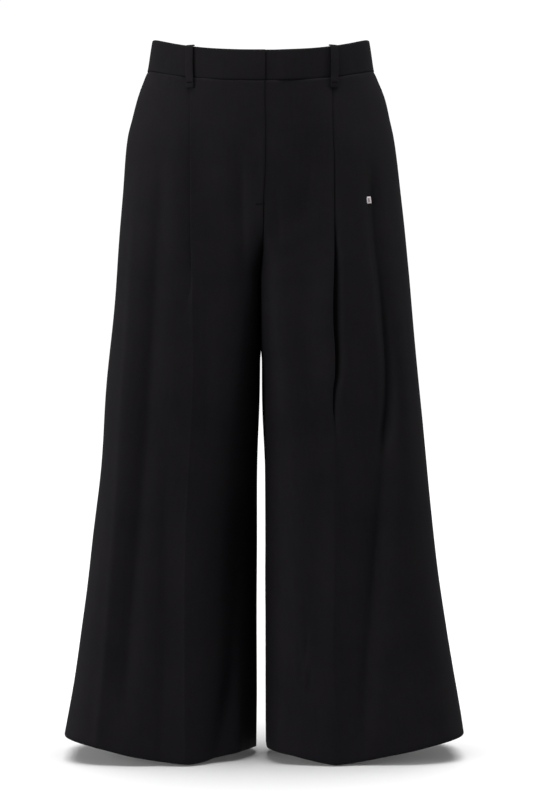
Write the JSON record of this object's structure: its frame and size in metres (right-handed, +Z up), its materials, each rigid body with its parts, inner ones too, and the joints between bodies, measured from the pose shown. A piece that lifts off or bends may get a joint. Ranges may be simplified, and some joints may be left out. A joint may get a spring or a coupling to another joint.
{
  "type": "wide-leg trousers",
  "caption": "Hollow cropped wide-leg trousers as worn, with a contoured waistband, belt loops, a fly, pressed creases, folded pleats and side pockets.",
  "frame": {"origin": "middle of the waist where the wearer holds the trousers up, level with the middle of the waistband at the sides", "axes": "+Z up along the legs, -Y out of the front, +X towards the wearer's left"},
  "size_m": [0.5102, 0.2548, 0.9119],
  "materials": {
    "suiting": "black twill suiting, matt with a faint sheen",
    "woven_tab": "white satin-woven tape"
  },
  "bodies": {
    "root": {"front_right": "suiting", "front_left": "suiting", "back_right": "suiting", "back_left": "suiting", "pocket_facing_right": "suiting", "pocket_facing_left": "suiting", "waistband_right": "suiting", "waistband_left": "suiting", "waistband_back": "suiting", "loop_front_right": "suiting", "loop_front_left": "suiting", "loop_back_right": "suiting", "loop_back_left": "suiting", "loop_back_centre": "suiting", "label_tab": "woven_tab"}
  },
  "joints": []
}
